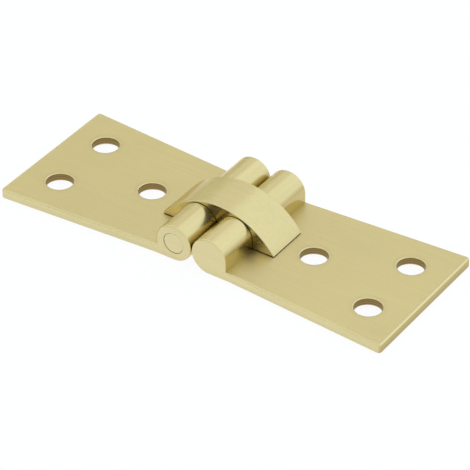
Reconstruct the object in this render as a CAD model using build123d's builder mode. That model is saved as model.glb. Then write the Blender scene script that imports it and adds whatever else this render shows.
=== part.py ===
from build123d import *
import os

# Counter flap hinge: two cast leaves joined by an arched link that turns on a pin at each end.
# It is modelled open, lying on its flush faces, with the knuckles and the link standing up. Those
# are let into the counter when the hinge is fitted, so that only the flush faces show.
# Origin: middle of the hinge, on the flush face. X runs along the leaves, Y along the pins, Z up.
# All sizes are in millimetres.

# Leaves
overall_length = 102.0  # from outer end to outer end, both leaves flat
end_width = 38.0  # of a leaf at its outer end
hinge_width = 32.4  # of a leaf at its knuckles
leaf_thickness = 2.4
end_corner_radius = 0.8
leaf_edge_chamfer = 0.2

# Knuckles
pin_height = 4.6  # pin axis above the flush face
knuckle_gap = 0.2  # between the two knuckles, and between the folded flush faces
knuckle_end_chamfer = 0.25

# Pins
pin_diameter = 5.2
pin_bore_wall = 2.2  # metal left at the blind end of the pin's bore
pin_seat_clearance = 0.02  # round the pin where the leaf holds it fast
pin_running_clearance = 0.06  # round the pin where the link turns on it
pin_end_chamfer = 0.2

# Link
link_width = 11.2
link_length = 30.0  # across the tips of its arch
link_height = 10.5  # crown of the arch above the flush face
link_side_gap = 0.15  # between the link and the knuckle beside it
link_foot_gap = 0.15  # between the underside of the link and the plane of the flush faces
link_tip_gap = 0.2  # between the tips of the arch and the backs of the leaves
link_end_gap = 0.15  # between the slot's end and the knuckle's outer side
link_lobe_gap = 0.15  # between a lobe and the upper edge of the slot's end
link_edge_chamfer = 0.2

# Screw holes, countersunk from the flush face
screw_hole_diameter = 6.4
countersink_diameter = 7.6
countersink_angle = 90
outer_hole_inset = 9.3  # from the outer end of the leaf
outer_hole_spacing = 17.8
inner_hole_spacing = 44.0  # between the single holes of the two leaves
hole_rim_chamfer = 0.15

# Sizes that follow from the ones above
knuckle_radius = pin_height  # the knuckle runs down into the flush face as a tangent
pin_x = pin_height + knuckle_gap / 2  # the flush faces meet when each pin has turned a quarter
knuckle_side_x = pin_x + knuckle_radius
leaf_end_x = overall_length / 2
slot_end_x = knuckle_side_x + link_end_gap
slot_width = link_width + 2 * link_side_gap
pin_length = hinge_width - pin_bore_wall
slot_edge_radius = ((slot_end_x - pin_x) ** 2 + (pin_height - leaf_thickness) ** 2) ** 0.5
link_lobe_radius = slot_edge_radius - link_lobe_gap
link_tip_z = leaf_thickness + link_tip_gap
flush_side = Plane.XY.rotated((180, 0, 0))  # looks at the flush face from below

# Plate of a leaf: it widens outwards, and its edges are broken all round but where the knuckles are
with BuildPart() as leaf_plate:
    with BuildSketch():
        with BuildLine():
            Polyline(
                (pin_x, -hinge_width / 2),
                (knuckle_side_x, -hinge_width / 2),
                (leaf_end_x, -end_width / 2),
                (leaf_end_x, end_width / 2),
                (knuckle_side_x, hinge_width / 2),
                (pin_x, hinge_width / 2),
                close=True,
            )
        make_face()
    extrude(amount=leaf_thickness)
    end_corners = leaf_plate.edges().filter_by(Axis.Z).group_by(Axis.X)[-1]
    fillet(end_corners, radius=end_corner_radius)
    plate_outline = leaf_plate.faces().sort_by(Axis.Z)[-1].edges().sort_by(Axis.X)[1:]
    chamfer(plate_outline, length=leaf_edge_chamfer)

# Knuckles of a leaf: round over the pin, upright on their outer side
with BuildPart() as leaf_knuckles:
    with BuildSketch(Plane.XZ):
        with Locations((pin_x, pin_height)):
            Circle(knuckle_radius)
        with Locations((pin_x, 0)):
            Rectangle(knuckle_radius, pin_height, align=(Align.MIN, Align.MIN))
    extrude(amount=hinge_width / 2, both=True)
    chamfer(leaf_knuckles.faces().filter_by(Axis.Y).edges(), length=knuckle_end_chamfer)

# Right leaf: the plate and its knuckles, cast in one
with BuildPart() as right_leaf:
    add(leaf_plate.part)
    add(leaf_knuckles.part)

    # Slot for the link
    with BuildSketch():
        Rectangle(slot_end_x, slot_width, align=(Align.MIN, Align.CENTER))
    extrude(amount=pin_height + knuckle_radius, mode=Mode.SUBTRACT)

    # Bore for the pin, open at one end only
    with BuildSketch(Plane.XZ.offset(-hinge_width / 2)):
        with Locations((pin_x, pin_height)):
            Circle(pin_diameter / 2 + pin_seat_clearance)
    extrude(amount=pin_length, mode=Mode.SUBTRACT)

    # Screw holes
    outer_hole_x = leaf_end_x - outer_hole_inset
    with Locations(flush_side):
        with Locations(
            (outer_hole_x, outer_hole_spacing / 2),
            (outer_hole_x, -outer_hole_spacing / 2),
            (inner_hole_spacing / 2, 0),
        ):
            CounterSinkHole(
                radius=screw_hole_diameter / 2,
                counter_sink_radius=countersink_diameter / 2,
                depth=leaf_thickness,
                counter_sink_angle=countersink_angle,
            )
    plate_back = right_leaf.faces().filter_by(Axis.Z).sort_by(Axis.Z)[-1]
    chamfer(plate_back.inner_wires().edges(), length=hole_rim_chamfer)
right_leaf.part.label = "right_leaf"

# Left leaf: the same casting, turned half round
with BuildPart() as left_leaf:
    add(right_leaf.part, rotation=(0, 0, 180))
left_leaf.part.label = "left_leaf"

# Link: an arch over the knuckles, with a lobe below each pin that fills the leaf's slot
with BuildPart() as link:
    with BuildSketch(Plane.XZ):
        with Locations((-pin_x, pin_height), (pin_x, pin_height)):
            Circle(link_lobe_radius)
        with Locations((0, link_foot_gap)):
            lobe_height = pin_height - link_foot_gap
            Rectangle(link_length, lobe_height, align=(Align.CENTER, Align.MIN), mode=Mode.INTERSECT)
            Rectangle(2 * pin_x, lobe_height, align=(Align.CENTER, Align.MIN))
        with BuildLine():
            left_tip = (-link_length / 2, link_tip_z)
            right_tip = (link_length / 2, link_tip_z)
            ThreePointArc(left_tip, (0, link_height), right_tip)
            Line(left_tip, right_tip)
        make_face()
        with Locations((-pin_x, pin_height), (pin_x, pin_height)):
            Circle(pin_diameter / 2 + pin_running_clearance, mode=Mode.SUBTRACT)
    extrude(amount=link_width / 2, both=True)
    side_edges = link.faces().filter_by(Axis.Y).edges()
    arch_edges = side_edges.filter_by(GeomType.CIRCLE).group_by(SortBy.RADIUS)[-1]
    chamfer(arch_edges, length=link_edge_chamfer)
link.part.label = "link"

# Right pin: driven in from the back, flush with the knuckle
with BuildPart() as right_pin:
    with BuildSketch(Plane.XZ.offset(-hinge_width / 2)):
        with Locations((pin_x, pin_height)):
            Circle(pin_diameter / 2)
    extrude(amount=pin_length)
    chamfer(right_pin.edges(), length=pin_end_chamfer)
right_pin.part.label = "right_pin"

# Left pin: the same, driven in from the front
with BuildPart() as left_pin:
    add(right_pin.part, rotation=(0, 0, 180))
left_pin.part.label = "left_pin"

os.makedirs("parts", exist_ok=True)
export_step(left_leaf.part, "parts/left_leaf.step")
export_step(right_leaf.part, "parts/right_leaf.step")
export_step(link.part, "parts/link.step")
export_step(left_pin.part, "parts/left_pin.step")
export_step(right_pin.part, "parts/right_pin.step")
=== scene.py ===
import bpy
import math
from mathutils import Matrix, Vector


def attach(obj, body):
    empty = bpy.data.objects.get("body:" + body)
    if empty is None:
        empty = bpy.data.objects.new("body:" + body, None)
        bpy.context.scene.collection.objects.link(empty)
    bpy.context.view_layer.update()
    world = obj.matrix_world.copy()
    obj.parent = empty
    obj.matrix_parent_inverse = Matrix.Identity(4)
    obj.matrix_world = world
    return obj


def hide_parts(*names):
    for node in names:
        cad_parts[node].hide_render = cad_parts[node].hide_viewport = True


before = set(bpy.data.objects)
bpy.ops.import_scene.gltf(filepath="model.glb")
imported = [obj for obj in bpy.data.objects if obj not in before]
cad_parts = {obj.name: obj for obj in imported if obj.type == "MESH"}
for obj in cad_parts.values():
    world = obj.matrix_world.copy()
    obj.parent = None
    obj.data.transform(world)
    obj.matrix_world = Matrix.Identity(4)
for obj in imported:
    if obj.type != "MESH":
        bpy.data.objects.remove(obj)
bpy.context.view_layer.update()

# Counter flap hinge in satin brass, lying open on its flush faces.
# The pieces are modelled in millimetres and brought to metres when they are finished.
mm = 0.001
near = 0.004  # how far a point may be off and still count as being there, in millimetres
nearRound = 0.04  # the same for a point on a circle, which is made of straight sides
past = 1.0  # how far a cutter stands out of the metal, in millimetres

finishing = {
    "mergeReach": 0.001,  # points closer than this become one, in millimetres
    "seamAngle": 0.4,  # a seam flatter than this is taken out, in degrees
    "smoothAngle": 34,  # an edge sharper than this stays sharp, in degrees
    "squareNormal": 0.99999,  # how square to an axis a face is that counts as flat
    "faceWeight": 50,  # how strongly the large faces turn the normals of the rounds
}


# Modelling helpers

def clearSelection():
    if bpy.context.mode != "OBJECT":
        bpy.ops.object.mode_set(mode="OBJECT")
    bpy.ops.object.select_all(action="DESELECT")


def makeActive(piece):
    clearSelection()
    piece.select_set(True)
    bpy.context.view_layer.objects.active = piece


def applyPlace(piece):
    makeActive(piece)
    bpy.ops.object.transform_apply(location=True, rotation=True, scale=True)


def keepPrimitive(name):  # names the piece just added and applies its place
    piece = bpy.context.active_object
    piece.name = name
    applyPlace(piece)
    return piece


def addBlock(name, low, high):
    clearSelection()
    bpy.ops.mesh.primitive_cube_add(size=1, location=[(a + b) / 2 for a, b in zip(low, high)])
    bpy.context.active_object.scale = [b - a for a, b in zip(low, high)]
    return keepPrimitive(name)


def addRod(name, radius, x, z, front, back, sides):  # a round bar along Y
    clearSelection()
    bpy.ops.mesh.primitive_cylinder_add(
        vertices=sides,
        radius=radius,
        depth=back - front,
        location=(x, (front + back) / 2, z),
        rotation=(math.radians(90), 0, 0),
    )
    return keepPrimitive(name)


def addDrill(name, spot, low, high, lowRadius, highRadius, sides):  # upright, straight or tapered
    clearSelection()
    bpy.ops.mesh.primitive_cone_add(
        vertices=sides,
        radius1=lowRadius,
        radius2=highRadius,
        depth=high - low,
        location=(*spot, (low + high) / 2),
    )
    return keepPrimitive(name)


def combine(piece, other, operation):
    makeActive(piece)
    modifier = piece.modifiers.new("combine", "BOOLEAN")
    modifier.operation = operation
    modifier.solver = "EXACT"
    modifier.object = other
    bpy.ops.object.modifier_apply(modifier=modifier.name)
    bpy.data.objects.remove(other)


def selectNothing(piece, kind):  # ready to pick edges or faces in code
    makeActive(piece)
    bpy.ops.object.mode_set(mode="EDIT")
    bpy.ops.mesh.select_mode(type=kind)
    bpy.ops.mesh.select_all(action="DESELECT")
    bpy.ops.object.mode_set(mode="OBJECT")


def selectEdges(piece, test):
    selectNothing(piece, "EDGE")
    points = piece.data.vertices
    found = 0
    for edge in piece.data.edges:
        if test(points[edge.vertices[0]].co, points[edge.vertices[1]].co):
            edge.select = True
            found += 1
    bpy.ops.object.mode_set(mode="EDIT")
    return found


def selectFaces(piece, test):
    selectNothing(piece, "FACE")
    for face in piece.data.polygons:
        face.select = test(face)
    bpy.ops.object.mode_set(mode="EDIT")


def selectWhole(piece):
    makeActive(piece)
    bpy.ops.object.mode_set(mode="EDIT")
    bpy.ops.mesh.select_mode(type="VERT")
    bpy.ops.mesh.select_all(action="SELECT")


def isFlat(face):  # square to an axis
    return max(abs(part) for part in face.normal) > finishing["squareNormal"]


def roundEdges(piece, what, size, steps, test):
    found = selectEdges(piece, test)
    bpy.ops.mesh.bevel(offset=size, segments=steps, affect="EDGES", material=1, clamp_overlap=True)
    bpy.ops.object.mode_set(mode="OBJECT")
    print("rounded", found, "edges:", what)


def cleanMesh(piece):  # merges doubles and takes out the flat seams that the cuts leave
    selectWhole(piece)
    bpy.ops.mesh.remove_doubles(threshold=finishing["mergeReach"])
    bpy.ops.mesh.dissolve_limited(angle_limit=math.radians(finishing["seamAngle"]))
    bpy.ops.mesh.normals_make_consistent(inside=False)
    bpy.ops.object.mode_set(mode="OBJECT")


def cutAcross(piece, point, direction):  # adds edges where the plane meets the piece
    selectWhole(piece)
    bpy.ops.mesh.bisect(plane_co=point, plane_no=direction)
    bpy.ops.object.mode_set(mode="OBJECT")


def sliceOff(piece, height, keepAbove):
    selectWhole(piece)
    bpy.ops.mesh.bisect(
        plane_co=(0, 0, height),
        plane_no=(0, 0, 1),
        use_fill=True,
        clear_inner=keepAbove,
        clear_outer=not keepAbove,
    )
    bpy.ops.object.mode_set(mode="OBJECT")


def bothAt(a, b, axis, value):
    return abs(a[axis] - value) < near and abs(b[axis] - value) < near


def bothRound(a, b, first, second, centre, radius):  # both ends on a circle in the plane of two axes
    for point in (a, b):
        if abs(math.hypot(point[first] - centre[0], point[second] - centre[1]) - radius) > nearRound:
            return False
    return True


def giveSlots(piece):  # the first material is for the faces, the second for the rubbed edges
    piece.data.materials.clear()
    piece.data.materials.append(None)
    piece.data.materials.append(None)


def turnedCopy(piece, name):  # a copy with its own mesh, turned half round the hinge's middle
    makeActive(piece)
    bpy.ops.object.duplicate(linked=False)
    copy = bpy.context.active_object
    copy.name = name
    copy.rotation_euler = (0, 0, math.pi)
    applyPlace(copy)
    return copy


def finishPiece(piece, node, body, materials):
    makeActive(piece)
    piece.scale = (mm, mm, mm)
    applyPlace(piece)
    bpy.ops.object.shade_smooth_by_angle(angle=math.radians(finishing["smoothAngle"]))
    selectFaces(piece, isFlat)
    bpy.ops.mesh.faces_shade_flat()
    bpy.ops.object.mode_set(mode="OBJECT")
    weighting = piece.modifiers.new("faceWeights", "WEIGHTED_NORMAL")
    weighting.mode = "FACE_AREA"
    weighting.weight = finishing["faceWeight"]
    weighting.keep_sharp = True
    bpy.ops.object.modifier_apply(modifier=weighting.name)
    for index, material in enumerate(materials):
        piece.data.materials[index] = material
    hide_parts(node)
    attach(piece, body)
    print("finished", piece.name, "with", len(piece.data.polygons), "faces")


# Pins

pinSizes = {
    "x": 4.7,  # from the middle of the hinge
    "height": 4.6,  # above the flush faces
    "radius": 2.6,
    "length": 30.2,
    "endRound": 0.2,
    "endSteps": 3,
    "seatGap": 0.02,
    "runningGap": 0.06,
    "sides": 96,
}


def modelPin():
    back = leafSizes["hingeWidth"] / 2
    front = back - pinSizes["length"]
    x, z = pinSizes["x"], pinSizes["height"]
    pin = addRod("rightPinRod", pinSizes["radius"], x, z, front, back, pinSizes["sides"])
    giveSlots(pin)
    roundEdges(
        pin, "ends of the pin", pinSizes["endRound"], pinSizes["endSteps"],
        lambda a, b: bothAt(a, b, 1, back) or bothAt(a, b, 1, front)
    )
    print("modelled the pin")
    return pin


# Leaves

leafSizes = {
    "end": 51.0,  # from the middle of the hinge to the leaf's outer end
    "endWidth": 38.0,
    "hingeWidth": 32.4,
    "thickness": 2.4,
    "flareStart": 10.1,  # straight sides up to here, so that the rounds meet well at the knuckle
    "cornerRound": 0.86,  # along each side
    "cornerSteps": 8,
    "edgeRound": 0.42,
    "edgeSteps": 4,
    "knuckleRadius": 4.6,
    "knuckleSides": 144,
    "slotWidth": 11.5,
    "slotEnd": 9.45,
    "slotCutterTop": 11.0,  # clears the knuckles
    "slotRound": 0.1,
    "slotSteps": 2,
}

holeSizes = {
    "radius": 3.2,
    "drillTop": 4.0,  # clears the plate
    "countersinkRadius": 3.8,  # at the flush face, from where it tapers by 45 degrees
    "countersinkSpare": 0.5,  # how far the tapered cutter goes on past both ends
    "rimRound": 0.22,
    "rimSteps": 3,
    "footRound": 0.08,
    "footSteps": 2,
    "sides": 72,
}

outerHoles = {"x": 41.7, "y": 8.9}
innerHole = {"x": 22.0, "y": 0.0}
holeSpots = (
    (outerHoles["x"], outerHoles["y"]),
    (outerHoles["x"], -outerHoles["y"]),
    (innerHole["x"], innerHole["y"]),
)


def sideOfLeaf(x):  # half the leaf's width at this distance from the middle
    flareStart = leafSizes["flareStart"]
    along = max(0.0, x - flareStart) / (leafSizes["end"] - flareStart)
    return (leafSizes["hingeWidth"] + along * (leafSizes["endWidth"] - leafSizes["hingeWidth"])) / 2


def onPlateOutline(point):
    x, y, z = point
    knuckleSide = pinSizes["x"] + leafSizes["knuckleRadius"]
    flat = abs(z) < near or (abs(z - leafSizes["thickness"]) < near and x > knuckleSide - near)
    beside = x > pinSizes["x"] - near and abs(y) > sideOfLeaf(x) - 2 * near
    return flat and (beside or x > leafSizes["end"] - leafSizes["cornerRound"] - near)


def onKnuckleEnd(point):
    x, y, z = point
    if abs(abs(y) - leafSizes["hingeWidth"] / 2) > near:
        return False
    fromPin = math.hypot(x - pinSizes["x"], z - pinSizes["height"])
    inPlate = x > pinSizes["x"] + near and z < leafSizes["thickness"] - near
    return fromPin > leafSizes["knuckleRadius"] - nearRound and not inPlate


def isLeafOutline(a, b):
    if a.y * b.y < 0 and not bothAt(a, b, 0, leafSizes["end"]):
        return False  # a line across the leaf, inside the outline
    if onPlateOutline(a) and onPlateOutline(b) and abs(a.z - b.z) < near:
        return True
    return onKnuckleEnd(a) and onKnuckleEnd(b) and abs(a.y - b.y) < near


def isSlotEdge(a, b):
    half, end = leafSizes["slotWidth"] / 2, leafSizes["slotEnd"]
    if bothAt(a, b, 0, end):
        return abs(a.z - b.z) < near
    onSide = bothAt(a, b, 1, half) or bothAt(a, b, 1, -half)
    boreRadius = pinSizes["radius"] + pinSizes["seatGap"]
    onBore = bothRound(a, b, 0, 2, (pinSizes["x"], pinSizes["height"]), boreRadius)
    return onSide and not onBore and max(a.x, b.x) < end + near


def isHoleRim(a, b, height, radius):
    return bothAt(a, b, 2, height) and any(bothRound(a, b, 0, 1, spot, radius) for spot in holeSpots)


def drawPlate():  # starts as a strip beside the knuckles and is drawn out and flared
    half = leafSizes["hingeWidth"] / 2
    start, end = leafSizes["flareStart"], leafSizes["end"]
    leaf = addBlock("rightLeafCasting", (pinSizes["x"], -half, 0), (start, half, leafSizes["thickness"]))
    selectEdges(leaf, lambda a, b: bothAt(a, b, 0, start))
    bpy.ops.mesh.select_mode(type="FACE")
    bpy.ops.mesh.extrude_region_move(TRANSFORM_OT_translate={"value": (end - start, 0, 0)})
    flare = leafSizes["endWidth"] / leafSizes["hingeWidth"]
    bpy.ops.transform.resize(value=(1, flare, 1), center_override=(end, 0, 0))
    giveSlots(leaf)
    selectEdges(leaf, lambda a, b: bothAt(a, b, 0, end) and abs(a.z - b.z) > near)
    bpy.ops.mesh.bevel(offset=leafSizes["cornerRound"], segments=leafSizes["cornerSteps"], affect="EDGES")
    return leaf


def addKnuckles(leaf):  # round over the pin, upright on their outer side
    half, radius = leafSizes["hingeWidth"] / 2, leafSizes["knuckleRadius"]
    x, z = pinSizes["x"], pinSizes["height"]
    heel = addBlock("heel", (x, -half, 0), (x + radius, half, z))
    rod = addRod("knuckleRod", radius, x, z, -half, half, leafSizes["knuckleSides"])
    combine(leaf, heel, "UNION")
    combine(leaf, rod, "UNION")
    cleanMesh(leaf)
    roundEdges(leaf, "outline of the leaf", leafSizes["edgeRound"], leafSizes["edgeSteps"], isLeafOutline)


def cutLinkSlot(leaf):
    half = leafSizes["slotWidth"] / 2
    slot = addBlock("slot", (-past, -half, -past), (leafSizes["slotEnd"], half, leafSizes["slotCutterTop"]))
    combine(leaf, slot, "DIFFERENCE")


def drillPinBore(leaf):  # open at the back only
    back = leafSizes["hingeWidth"] / 2
    front = back - pinSizes["length"]
    radius = pinSizes["radius"] + pinSizes["seatGap"]
    x, z = pinSizes["x"], pinSizes["height"]
    drill = addRod("pinDrill", radius, x, z, front, back + past, pinSizes["sides"])
    combine(leaf, drill, "DIFFERENCE")


def drillScrewHoles(leaf):
    radius, wide, spare = holeSizes["radius"], holeSizes["countersinkRadius"], holeSizes["countersinkSpare"]
    depth, sides = wide - radius, holeSizes["sides"]
    for spot in holeSpots:
        drill = addDrill("drill", spot, -past, holeSizes["drillTop"], radius, radius, sides)
        combine(leaf, drill, "DIFFERENCE")
        drill = addDrill("countersink", spot, -spare, depth + spare, wide + spare, radius - spare, sides)
        combine(leaf, drill, "DIFFERENCE")


def roundOpenings(leaf):
    roundEdges(
        leaf, "hole rims", holeSizes["rimRound"], holeSizes["rimSteps"],
        lambda a, b: isHoleRim(a, b, leafSizes["thickness"], holeSizes["radius"])
    )
    roundEdges(
        leaf, "countersinks", holeSizes["footRound"], holeSizes["footSteps"],
        lambda a, b: isHoleRim(a, b, 0, holeSizes["countersinkRadius"])
    )
    roundEdges(leaf, "slot", leafSizes["slotRound"], leafSizes["slotSteps"], isSlotEdge)


def splitPlate(leaf):  # cuts through the holes keep every face of the plate simple in outline
    inner, outer = innerHole["x"], outerHoles["x"]
    for x in (inner, (inner + outer) / 2, outer):
        cutAcross(leaf, (x, 0, 0), (1, 0, 0))
    for y in (-outerHoles["y"], 0, outerHoles["y"]):
        cutAcross(leaf, (0, y, 0), (0, 1, 0))


def modelLeaf():
    leaf = drawPlate()
    addKnuckles(leaf)
    cutLinkSlot(leaf)
    drillPinBore(leaf)
    drillScrewHoles(leaf)
    cleanMesh(leaf)
    roundOpenings(leaf)
    splitPlate(leaf)
    print("modelled the leaf")
    return leaf


# Link

linkSizes = {
    "length": 30.0,
    "width": 11.2,
    "height": 10.5,
    "tipHeight": 2.6,
    "lobeRadius": 5.085,
    "foot": 0.15,  # its underside, above the flush faces
    "footBlockTop": 6.0,  # before it is sliced at the height of the pins
    "edgeRound": 0.2,
    "edgeSteps": 3,
    "tipRound": 0.06,
    "tipSteps": 2,
    "archSides": 288,
    "lobeSides": 128,
}


def modelFoot():  # a web between the pins with a lobe at each end, which fills the slots of the leaves
    half = linkSizes["width"] / 2
    x, z = pinSizes["x"], pinSizes["height"]
    foot = addBlock("foot", (-x, -half, -past), (x, half, linkSizes["footBlockTop"]))
    for side in (-x, x):
        lobe = addRod("lobe", linkSizes["lobeRadius"], side, z, -half, half, linkSizes["lobeSides"])
        combine(foot, lobe, "UNION")
    sliceOff(foot, linkSizes["foot"], keepAbove=True)
    sliceOff(foot, z, keepAbove=False)
    return foot


def modelLink():
    half = linkSizes["width"] / 2
    tipX, tipZ = linkSizes["length"] / 2, linkSizes["tipHeight"]
    rise = linkSizes["height"] - tipZ
    archRadius = (tipX ** 2 + rise ** 2) / (2 * rise)
    archZ = linkSizes["height"] - archRadius

    # The arch is the top slice of a wide drum
    bridge = addRod("linkBridge", archRadius, 0, archZ, -half, half, linkSizes["archSides"])
    sliceOff(bridge, tipZ, keepAbove=True)
    giveSlots(bridge)
    combine(bridge, modelFoot(), "UNION")
    bore = pinSizes["radius"] + pinSizes["runningGap"]
    for x in (-pinSizes["x"], pinSizes["x"]):
        drill = addRod("drill", bore, x, pinSizes["height"], -half - past, half + past, pinSizes["sides"])
        combine(bridge, drill, "DIFFERENCE")
    cleanMesh(bridge)

    def isArchEdge(a, b):
        onSide = bothAt(a, b, 1, half) or bothAt(a, b, 1, -half)
        return onSide and bothRound(a, b, 0, 2, (0, archZ), archRadius)

    def isTip(a, b):
        return bothAt(a, b, 2, tipZ) and abs(a.x - b.x) < near and abs(a.x) > tipX - nearRound

    roundEdges(bridge, "arch", linkSizes["edgeRound"], linkSizes["edgeSteps"], isArchEdge)
    roundEdges(bridge, "tips of the arch", linkSizes["tipRound"], linkSizes["tipSteps"], isTip)
    print("modelled the link")
    return bridge


# Node helpers: a signal is a pair of a node and the name or number of one of its outputs

def addNode(tree, kind, place, **settings):
    node = tree.nodes.new(kind)
    node.location = place
    for name, value in settings.items():
        setattr(node, name, value)
    return node


def feed(tree, value, node, socket):  # the value is a number, a colour or a signal
    if isinstance(value, tuple) and isinstance(value[0], bpy.types.Node):
        tree.links.new(value[0].outputs[value[1]], node.inputs[socket])
    else:
        node.inputs[socket].default_value = value


def maths(tree, place, operation, *values):
    node = addNode(tree, "ShaderNodeMath", place, operation=operation)
    for index, value in enumerate(values):
        feed(tree, value, node, index)
    return node, 0


def mixNumbers(tree, place, share, first, second):
    node = addNode(tree, "ShaderNodeMix", place, data_type="FLOAT")
    for index, value in ((0, share), (2, first), (3, second)):
        feed(tree, value, node, index)
    return node, 0


def mixColours(tree, place, share, first, second):
    node = addNode(tree, "ShaderNodeMix", place, data_type="RGBA")
    for index, value in ((0, share), (6, first), (7, second)):
        feed(tree, value, node, index)
    return node, 2


def mixShaders(tree, place, share, first, second):
    node = addNode(tree, "ShaderNodeMixShader", place)
    for index, value in enumerate((share, first, second)):
        feed(tree, value, node, index)
    return node, 0


def addShader(tree, kind, place, colour=None, strength=None):
    node = addNode(tree, kind, place)
    for socket, value in (("Color", colour), ("Strength", strength)):
        if value is not None:
            feed(tree, value, node, socket)
    return node, 0


def rescale(tree, place, value, fromRange, toRange=(0.0, 1.0), kind="LINEAR"):
    node = addNode(tree, "ShaderNodeMapRange", place, interpolation_type=kind)
    names = ("From Min", "From Max", "To Min", "To Max")
    for socket, number in zip(names, (*fromRange, *toRange)):
        node.inputs[socket].default_value = number
    feed(tree, value, node, "Value")
    return node, "Result"


def splitParts(tree, place, value):  # into its X, Y and Z
    node = addNode(tree, "ShaderNodeSeparateXYZ", place)
    feed(tree, value, node, 0)
    return node


def openness(tree, place, reach, samples):  # 1 in the open, 0 where other metal closes in
    node = addNode(tree, "ShaderNodeAmbientOcclusion", place, samples=samples)
    node.inputs["Distance"].default_value = reach
    return node, "AO"


def addNoise(tree, place, spot, scale, detail, roughness=0.5):
    node = addNode(tree, "ShaderNodeTexNoise", place)
    for socket, number in (("Scale", scale), ("Detail", detail), ("Roughness", roughness)):
        node.inputs[socket].default_value = number
    feed(tree, spot, node, "Vector")
    return node, "Fac"


def wander(tree, place, noise, reach, middle=0.0):  # a tone that goes this far to either side of the middle
    return maths(tree, place, "MULTIPLY_ADD", noise, 2 * reach, middle - reach)


def opaque(colour):
    return (*colour, 1.0)


# Brass

grain = {  # how fine the brushing is along X, Y and Z, per metre
    "alongX": (140, 5200, 5200),
    "alongY": (5200, 140, 5200),
    "even": (160, 160, 160),
}

leafLook = {
    "colour": (0.665, 0.520, 0.232),
    "litSideColour": (0.730, 0.650, 0.362),  # front and back faces, which were milled; painted lighter, as painted light
    "roughness": 0.40,
    "grain": grain["alongX"],
    "nookShadeTone": 0.85,  # painted shade, on metal deep between the pieces
    "endMarks": 0.08,  # how strong the cutter's marks are on faces square to the leaf's length
    "sideMarks": 0.01,
    "knuckleGrain": grain["alongY"],
    "knuckleFrom": 0.05,  # how far above the plate the knuckle's brushing starts, in millimetres
    "knuckleRoughness": 0.23,
    "knuckleGrainStrength": 0.03,
}

linkLook = {
    "colour": leafLook["colour"],
    # painted light on the link's side faces
    "litSideColour": (0.860, 0.760, 0.420),
    "roughness": 0.25,
    "grain": grain["alongX"],
    # strong painted shade in the link's nooks
    "nookShadeTone": 0.45,
    "endMarks": 0.0,
    "sideMarks": 0.08,
}

pinLook = {
    "colour": (0.690, 0.600, 0.300),
    # painted light on the pin's ends
    "litSideColour": leafLook["litSideColour"],
    "roughness": 0.32,
    "grain": grain["alongX"],
    # painted shade in the pin's nooks
    "nookShadeTone": 0.85,
    "endMarks": 0.0,
    "sideMarks": 0.0,
}

edgeLook = {
    "colour": (0.705, 0.570, 0.268),
    # painted light on the edges that face front and back
    "litSideColour": leafLook["litSideColour"],
    "roughness": 0.25,
    "grain": grain["even"],
    # painted shade in the nooks along the edges
    "nookShadeTone": 0.85,
    "endMarks": 0.0,
    "sideMarks": 0.0,
}

brassLook = {  # what all of the brass shares
    "shadedEndColour": (0.605, 0.495, 0.222),  # faces square to the leaf's length, painted darker as painted shade
    "grazingTint": (1.0, 1.0, 0.93, 1.0),
    "squareFrom": 0.80,  # a face starts to count as square to an axis here
    "squareTo": 0.98,  # and counts in full from here
    "broadShare": 0.28,  # how fine the broad brushing is beside the fine one
    "grainDetail": 1.0,
    "grainRaggedness": 0.6,
    "grainDepth": 0.000006,  # of the brushed lines, in metres
    "grainStrength": 0.10,
    "brushSpread": 0.055,  # how far the tone goes either way with the broad brushing
    "cloudSpread": 0.06,  # with the slow change over the piece
    "cloudScale": 38.0,
    "cloudDetail": 2.0,
    "speckSpread": 0.04,  # and with the fine specks
    "speckScale": 2100.0,
    "speckDetail": 1.0,
    "polishSpread": 0.05,  # how far the roughness goes either way
    "nookShadeReach": 0.0025,
    "nookShadeDeep": 0.1,  # the painted shade is full where the metal is less open than this
    "nookShadeOpen": 0.9,  # and ends here
    "nookShadeSamples": 48,
    "millSpacing": 0.00055,  # of the cutter's marks on milled faces
}

holeLook = {
    # dark, painted shade on the walls of the holes
    "shadedWallColour": (0.300, 0.212, 0.080),
    "wallReach": 0.00002,  # how far outside the hole's radius the wall still counts as wall
    "haloTone": 0.94,  # of the metal just outside the rim
    "haloWidth": 0.0017,
    "ringSpacing": 0.00055,  # of the drill's rings on the wall
    "ringDepth": 0.26,
}


def towards(tree, place, normalPart):  # 1 on faces square to the axis, 0 on those along it
    size = maths(tree, place, "ABSOLUTE", normalPart)
    squares = (brassLook["squareFrom"], brassLook["squareTo"])
    return rescale(tree, (place[0] + 200, place[1]), size, squares, kind="SMOOTHSTEP")


def addBrushing(tree, place, spot, scale):
    mapping = addNode(tree, "ShaderNodeMapping", place)
    mapping.inputs["Scale"].default_value = scale
    feed(tree, spot, mapping, "Vector")
    beside = (place[0] + 200, place[1])
    ragged = brassLook["grainRaggedness"]
    return addNoise(tree, beside, (mapping, "Vector"), 1.0, brassLook["grainDetail"], ragged)


def bothBrushings(tree, height, spot, scale):  # the fine lines and the broad ones
    fine = addBrushing(tree, (-1400, height), spot, scale)
    broadScale = [value * brassLook["broadShare"] for value in scale]
    broad = addBrushing(tree, (-1400, height - 300), spot, broadScale)
    return fine, broad


def aboveThePlate(tree, z, alongPin, start):  # 1 on the knuckles, but for their milled ends
    above = maths(tree, (-1200, -300), "GREATER_THAN", z, (leafSizes["thickness"] + start) * mm)
    notMilled = maths(tree, (-1200, -400), "SUBTRACT", 1.0, alongPin)
    return maths(tree, (-1000, -300), "MULTIPLY", above, notMilled)


def wanderingTone(tree, spot, cloud, broad):
    speck = addNoise(tree, (-1200, -750), spot, brassLook["speckScale"], brassLook["speckDetail"])
    cloudTone = wander(tree, (-600, -500), cloud, brassLook["cloudSpread"], 1.0)
    brushTone = wander(tree, (-600, -100), broad, brassLook["brushSpread"])
    speckTone = wander(tree, (-600, -750), speck, brassLook["speckSpread"])
    tone = maths(tree, (-400, -300), "ADD", cloudTone, brushTone)
    return maths(tree, (-200, -300), "ADD", tone, speckTone)


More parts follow.
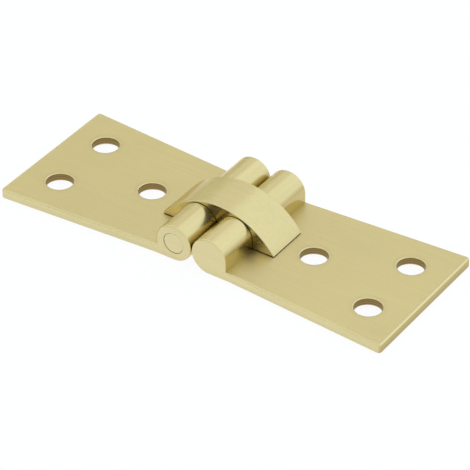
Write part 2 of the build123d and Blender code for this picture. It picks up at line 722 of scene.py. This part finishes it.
def paintShadeInNooks(tree, tone, nookShadeTone):  # painted shade between the pieces, darker where other metal closes in
    nook = openness(tree, (-600, -1900), brassLook["nookShadeReach"], brassLook["nookShadeSamples"])
    opening = (brassLook["nookShadeDeep"], brassLook["nookShadeOpen"])
    paintedShade = rescale(tree, (-400, -1900), nook, opening, (nookShadeTone, 1.0))
    return maths(tree, (-100, -1900), "MULTIPLY", tone, paintedShade)


def addMillMarks(tree, tone, height, share, across, depth):  # fine waves across a milled face
    turn = maths(tree, (-1200, height), "MULTIPLY", across, 2 * math.pi / brassLook["millSpacing"])
    wave = maths(tree, (-1000, height), "SINE", turn)
    cuts = maths(tree, (-800, height), "MULTIPLY", wave, share)
    cutTone = maths(tree, (-600, height), "MULTIPLY_ADD", cuts, depth, 1.0)
    return maths(tree, (-400, height), "MULTIPLY", tone, cutTone)


def distanceFrom(tree, acrossX, acrossY, spot):
    fromX = maths(tree, (-1200, -1000), "SUBTRACT", acrossX, spot[0])
    fromY = maths(tree, (-1200, -1200), "SUBTRACT", acrossY, spot[1])
    squareX = maths(tree, (-1000, -1000), "MULTIPLY", fromX, fromX)
    squareY = maths(tree, (-1000, -1200), "MULTIPLY", fromY, fromY)
    square = maths(tree, (-800, -1100), "ADD", squareX, squareY)
    return maths(tree, (-600, -1100), "SQRT", square)


def markHoles(tree, x, y, z, metal, tone):  # a duller ring outside the rim, the drill's rings on the wall, and the wall painted dark as painted shade
    radius = holeSizes["radius"] * mm
    acrossX = maths(tree, (-1400, -1000), "ABSOLUTE", x)
    acrossY = maths(tree, (-1400, -1200), "ABSOLUTE", y)
    ringAngle = maths(tree, (-1000, -1500), "MULTIPLY", z, 2 * math.pi / holeLook["ringSpacing"])
    ring = maths(tree, (-800, -1500), "SINE", ringAngle)
    for hole in (outerHoles, innerHole):  # the others are their mirror images in X and Y
        distance = distanceFrom(tree, acrossX, acrossY, (hole["x"] * mm, hole["y"] * mm))
        edges, tones = (radius, radius + holeLook["haloWidth"]), (holeLook["haloTone"], 1.0)
        halo = rescale(tree, (-400, -1100), distance, edges, tones, "SMOOTHSTEP")
        tone = maths(tree, (-100, -900), "MULTIPLY", tone, halo)
        inside = maths(tree, (-400, -1500), "LESS_THAN", distance, radius + holeLook["wallReach"])
        ringShare = maths(tree, (-200, -1500), "MULTIPLY", inside, ring)
        ringTone = maths(tree, (0, -1500), "MULTIPLY_ADD", ringShare, holeLook["ringDepth"], 1.0)
        tone = maths(tree, (0, -1100), "MULTIPLY", tone, ringTone)
        # the wall is painted dark, as painted shade in the hole
        metal = mixColours(tree, (100, 900), inside, metal, opaque(holeLook["shadedWallColour"]))
    return metal, tone


def satinBrass(name, look, withHoles=False):
    material = bpy.data.materials.new(name)
    material.use_nodes = True
    tree = material.node_tree
    shader = tree.nodes["Principled BSDF"]
    shader.inputs["Metallic"].default_value = 1.0
    shader.inputs["Specular Tint"].default_value = brassLook["grazingTint"]
    place = addNode(tree, "ShaderNodeTexCoord", (-1800, 0))
    spot = (place, "Object")
    split = splitParts(tree, (-1600, -300), spot)
    x, y, z = (split, "X"), (split, "Y"), (split, "Z")
    facing = splitParts(tree, (-1600, 1200), (place, "Normal"))
    alongLeaf = towards(tree, (-1400, 1200), (facing, "X"))
    alongPin = towards(tree, (-1400, 1500), (facing, "Y"))

    # Brushing, turned along the knuckles where the metal stands above the plate
    fine, broad = bothBrushings(tree, 300, spot, look["grain"])
    roughness, strength = look["roughness"], brassLook["grainStrength"]
    if "knuckleGrain" in look:
        raised = aboveThePlate(tree, z, alongPin, look["knuckleFrom"])
        fineUp, broadUp = bothBrushings(tree, 900, spot, look["knuckleGrain"])
        fine = mixNumbers(tree, (-800, 500), raised, fine, fineUp)
        broad = mixNumbers(tree, (-800, 200), raised, broad, broadUp)
        roughness = mixNumbers(tree, (-200, -600), raised, roughness, look["knuckleRoughness"])
        strength = mixNumbers(tree, (-100, 600), raised, strength, look["knuckleGrainStrength"])

    # Faces that look along the pins are painted lighter and those that look along the leaves darker, as
    # painted light and shade
    ends = mixColours(tree, (-300, 900), alongLeaf, opaque(look["colour"]), opaque(brassLook["shadedEndColour"]))
    metal = mixColours(tree, (-100, 900), alongPin, ends, opaque(look["litSideColour"]))

    cloud = addNoise(tree, (-1200, -500), spot, brassLook["cloudScale"], brassLook["cloudDetail"])
    tone = wanderingTone(tree, spot, cloud, broad)
    # painted shade where other metal closes in
    tone = paintShadeInNooks(tree, tone, look["nookShadeTone"])
    tone = addMillMarks(tree, tone, 1800, alongLeaf, y, look["endMarks"])
    tone = addMillMarks(tree, tone, 2100, alongPin, x, look["sideMarks"])
    if withHoles:
        metal, tone = markHoles(tree, x, y, z, metal, tone)
    toned = addNode(tree, "ShaderNodeVectorMath", (300, 0), operation="SCALE")
    feed(tree, metal, toned, 0)
    feed(tree, tone, toned, "Scale")
    feed(tree, (toned, "Vector"), shader, "Base Color")

    # The polish wanders as the tone does
    uneven = wander(tree, (0, -400), cloud, brassLook["polishSpread"])
    dull = maths(tree, (100, -500), "ADD", uneven, roughness)
    dullLines = wander(tree, (200, -400), broad, brassLook["polishSpread"])
    feed(tree, maths(tree, (400, -400), "ADD", dull, dullLines), shader, "Roughness")

    bump = addNode(tree, "ShaderNodeBump", (100, 300))
    feed(tree, strength, bump, "Strength")
    bump.inputs["Distance"].default_value = brassLook["grainDepth"]
    feed(tree, maths(tree, (-300, 400), "ADD", fine, broad), bump, "Height")
    feed(tree, (bump, "Normal"), shader, "Normal")
    return material


rightLeaf = modelLeaf()
leftLeaf = turnedCopy(rightLeaf, "leftLeafCasting")
rightPin = modelPin()
leftPin = turnedCopy(rightPin, "leftPinRod")
bridge = modelLink()

leafBrass = satinBrass("leafSatinBrass", leafLook, withHoles=True)
linkBrass = satinBrass("linkSatinBrass", linkLook)
pinBrass = satinBrass("pinSatinBrass", pinLook)
edgeBrass = satinBrass("rubbedEdgeBrass", edgeLook)
print("made the materials")

finishPiece(rightLeaf, "right_leaf", "right_leaf", (leafBrass, edgeBrass))
finishPiece(leftLeaf, "left_leaf", "left_leaf", (leafBrass, edgeBrass))
finishPiece(rightPin, "right_pin", "right_leaf", (pinBrass, edgeBrass))
finishPiece(leftPin, "left_pin", "left_leaf", (pinBrass, edgeBrass))
finishPiece(bridge, "link", "link", (linkBrass, edgeBrass))


# Studio, in metres

floorLook = {
    "size": 3.0,
    "height": -0.00005,
    "colour": (0.94, 0.94, 0.94, 1.0),
    "glow": 0.94,  # share of the floor that is clear to the camera and plain white to the metal
    "contactShade": 0.72,  # how bright the metal sees it right beside the hinge, on the right and behind
    "contactReach": 0.005,
    "contactFrom": 0.5,  # how open it is where the shade is full
    "contactSamples": 8,
    "bareShare": 0.2,  # how open it has to be below the link for the camera to see through it
    "brightReach": 0.05,  # how far from the middle of the hinge the metal sees it as white
    "dimReach": 0.12,  # and from where it sees it dim
    "dimShare": 0.75,
}

skyLook = {
    "colour": (0.803, 0.889, 1.0, 1.0),
    "strength": 1.19,
}

cardLook = {
    "radius": 0.35,
    "height": 0.16,
    "sides": 96,
    "footColour": (0.90, 0.87, 0.62, 1.0),
    "topColour": (0.99, 0.98, 0.86, 1.0),
}

darkLook = {
    "place": (0.20, -0.30, 0.26),
    "size": 0.42,
    "colour": (0.07, 0.065, 0.06, 1.0),
    "depth": 1.5,  # it shows to rays past this depth, which have bounced twice
}

keyLight = {
    "place": (0.23, 0.46, 0.43),
    "size": 0.75,
    "power": 0.66,
    "colour": (0.42, 0.66, 1.0),
}

fillLight = {
    "place": (-0.30, -0.44, 0.42),
    "size": 0.60,
    "power": 0.05,
    "colour": (1.0, 0.93, 0.80),
}

view = {
    "azimuth": 34.22,
    "elevation": 36.22,
    "distance": 0.646,  # from the middle of the hinge's back faces
    "lens": 220,
    "sensor": 36,
    "shiftX": 0.0065,
    "shiftY": -0.0260,
    "nearest": 0.01,
    "farthest": 20,
}

plainWhite = (1, 1, 1, 1)


def studioMaterial(piece, name):  # an empty material, its tree and its output
    material = bpy.data.materials.new(name)
    material.use_nodes = True
    material.node_tree.nodes.clear()
    piece.data.materials.append(material)
    return material.node_tree, addNode(material.node_tree, "ShaderNodeOutputMaterial", (600, 0))


def clearOfLink(tree, x, y, cover):  # where no link is above the floor, for the mirrors and for the camera
    sideX = maths(tree, (-600, 800), "ABSOLUTE", x)
    sideY = maths(tree, (-600, 1000), "ABSOLUTE", y)
    clearX = maths(tree, (-400, 800), "GREATER_THAN", sideX, leafSizes["slotEnd"] * mm)
    clearY = maths(tree, (-400, 1000), "GREATER_THAN", sideY, leafSizes["slotWidth"] / 2 * mm)
    clear = maths(tree, (-200, 900), "MAXIMUM", clearX, clearY)
    bare = maths(tree, (-400, 1150), "GREATER_THAN", cover, floorLook["bareShare"])
    return clear, maths(tree, (-200, 1100), "MAXIMUM", clear, bare)


def mirroredTone(tree, spot, x, y, cover):  # dim away from the hinge, shaded right beside it
    away = addNode(tree, "ShaderNodeVectorMath", (-800, 500), operation="LENGTH")
    feed(tree, spot, away, 0)
    reach = (floorLook["brightReach"], floorLook["dimReach"])
    dim = rescale(tree, (-600, 500), (away, "Value"), reach, (1.0, floorLook["dimShare"]), "SMOOTHSTEP")
    pastEnd = maths(tree, (-800, 1300), "GREATER_THAN", x, leafSizes["end"] * mm)
    behind = maths(tree, (-800, 1500), "GREATER_THAN", y, leafSizes["hingeWidth"] / 2 * mm)
    shaded = maths(tree, (-600, 1400), "MAXIMUM", pastEnd, behind)
    tones = (floorLook["contactShade"], 1.0)
    contact = rescale(tree, (-600, 1700), cover, (floorLook["contactFrom"], 1.0), tones)
    shade = mixNumbers(tree, (-400, 1500), shaded, 1.0, contact)
    return maths(tree, (-400, 600), "MULTIPLY", dim, shade)


def addFloor():  # the camera sees the white sky through it, and so a leaf that folds down below it too
    clearSelection()
    bpy.ops.mesh.primitive_plane_add(size=floorLook["size"], location=(0, 0, floorLook["height"]))
    floor = bpy.context.active_object
    floor.name = "studioFloor"
    tree, output = studioMaterial(floor, "floorPaper")
    path = addNode(tree, "ShaderNodeLightPath", (-400, 200))
    place = addNode(tree, "ShaderNodeTexCoord", (-1000, 500))
    split = splitParts(tree, (-800, 800), (place, "Object"))
    x, y = (split, "X"), (split, "Y")
    cover = openness(tree, (-800, 1700), floorLook["contactReach"], floorLook["contactSamples"])

    # Which rays the floor is white or clear to; right below the link it lies in full shadow
    mirror = maths(tree, (-200, 200), "MAXIMUM", (path, "Is Glossy Ray"), (path, "Is Transmission Ray"))
    toMirror, toCamera = clearOfLink(tree, x, y, cover)
    mirrored = maths(tree, (0, 400), "MULTIPLY", toMirror, mirror)
    filmed = maths(tree, (0, 600), "MULTIPLY", toCamera, (path, "Is Camera Ray"))
    seen = maths(tree, (100, 300), "MAXIMUM", mirrored, filmed)
    share = maths(tree, (200, 200), "MULTIPLY", seen, floorLook["glow"])

    tone = mirroredTone(tree, (place, "Object"), x, y, cover)
    strength = mixNumbers(tree, (-200, 500), (path, "Is Glossy Ray"), 1.0, tone)
    glow = addShader(tree, "ShaderNodeEmission", (200, -250), plainWhite, strength)
    through = addShader(tree, "ShaderNodeBsdfTransparent", (200, -400))
    bright = mixShaders(tree, (300, -300), (path, "Is Camera Ray"), glow, through)
    paper = addShader(tree, "ShaderNodeBsdfDiffuse", (200, -100), floorLook["colour"])
    feed(tree, mixShaders(tree, (400, 0), share, paper, bright), output, "Surface")


def addCard():  # a low curved card on the left, which the metal mirrors and the camera does not see
    clearSelection()
    bpy.ops.mesh.primitive_cylinder_add(
        vertices=cardLook["sides"],
        radius=cardLook["radius"],
        depth=cardLook["height"],
        end_fill_type="NOTHING",
        location=(0, 0, cardLook["height"] / 2),
    )
    card = keepPrimitive("studioCard")
    selectWhole(card)
    bpy.ops.mesh.bisect(plane_co=(0, 0, 0), plane_no=(1, 0, 0), clear_outer=True)
    bpy.ops.object.mode_set(mode="OBJECT")
    tree, output = studioMaterial(card, "cardPaper")
    place = addNode(tree, "ShaderNodeTexCoord", (-600, 0))
    split = splitParts(tree, (-400, 0), (place, "Object"))
    rise = rescale(tree, (-200, 0), (split, "Z"), (0.0, cardLook["height"]))
    colour = mixColours(tree, (0, 0), rise, cardLook["footColour"], cardLook["topColour"])
    feed(tree, addShader(tree, "ShaderNodeBsdfDiffuse", (200, 0), colour), output, "Surface")
    card.visible_camera = False


def addDarkCard():  # the dim side of the room, which shows only where the metal mirrors other metal
    clearSelection()
    bpy.ops.mesh.primitive_plane_add(size=darkLook["size"], location=darkLook["place"])
    bpy.context.active_object.rotation_euler = Vector(darkLook["place"]).to_track_quat("Z", "Y").to_euler()
    card = keepPrimitive("studioDarkCard")
    tree, output = studioMaterial(card, "darkCloth")
    path = addNode(tree, "ShaderNodeLightPath", (-400, 0))
    inSecond = maths(tree, (-200, 0), "GREATER_THAN", (path, "Ray Depth"), darkLook["depth"])
    clear = addShader(tree, "ShaderNodeBsdfTransparent", (0, 100))
    cloth = addShader(tree, "ShaderNodeBsdfDiffuse", (0, -100), darkLook["colour"])
    feed(tree, mixShaders(tree, (200, 0), inSecond, clear, cloth), output, "Surface")
    card.visible_camera = False


def addSky():  # plain white to the camera
    world = bpy.data.worlds.new("studioSky")
    bpy.context.scene.world = world
    world.use_nodes = True
    tree = world.node_tree
    sky = tree.nodes["Background"]
    sky.inputs["Color"].default_value = skyLook["colour"]
    sky.inputs["Strength"].default_value = skyLook["strength"]
    white = addShader(tree, "ShaderNodeBackground", (0, -200), plainWhite, 1.0)
    path = addNode(tree, "ShaderNodeLightPath", (0, 400))
    mix = mixShaders(tree, (200, 0), (path, "Is Camera Ray"), (sky, 0), white)
    feed(tree, mix, tree.nodes["World Output"], "Surface")


def addLamp(name, look):
    clearSelection()
    bpy.ops.object.light_add(type="AREA", location=look["place"])
    lamp = bpy.context.active_object
    lamp.name = name
    lamp.data.shape = "SQUARE"
    lamp.data.size = look["size"]
    lamp.data.energy = look["power"]
    lamp.data.color = look["colour"]
    lamp.rotation_euler = Vector(look["place"]).to_track_quat("Z", "Y").to_euler()


def addCamera():
    azimuth, elevation = math.radians(view["azimuth"]), math.radians(view["elevation"])
    back = Vector((
        math.sin(azimuth) * math.cos(elevation),
        -math.cos(azimuth) * math.cos(elevation),
        math.sin(elevation),
    ))
    target = Vector((0, 0, leafSizes["thickness"] * mm))
    clearSelection()
    bpy.ops.object.camera_add(location=target + back * view["distance"])
    camera = bpy.context.active_object
    camera.name = "studioCamera"
    camera.rotation_euler = back.to_track_quat("Z", "Y").to_euler()
    camera.data.sensor_width = view["sensor"]
    camera.data.lens = view["lens"]
    camera.data.shift_x = view["shiftX"]
    camera.data.shift_y = view["shiftY"]
    camera.data.clip_start = view["nearest"]
    camera.data.clip_end = view["farthest"]
    bpy.context.scene.camera = camera


addFloor()
addCard()
addDarkCard()
addSky()
addLamp("keyLamp", keyLight)
addLamp("fillLamp", fillLight)
addCamera()
bpy.context.scene.view_settings.view_transform = "Standard"
print("set the studio")
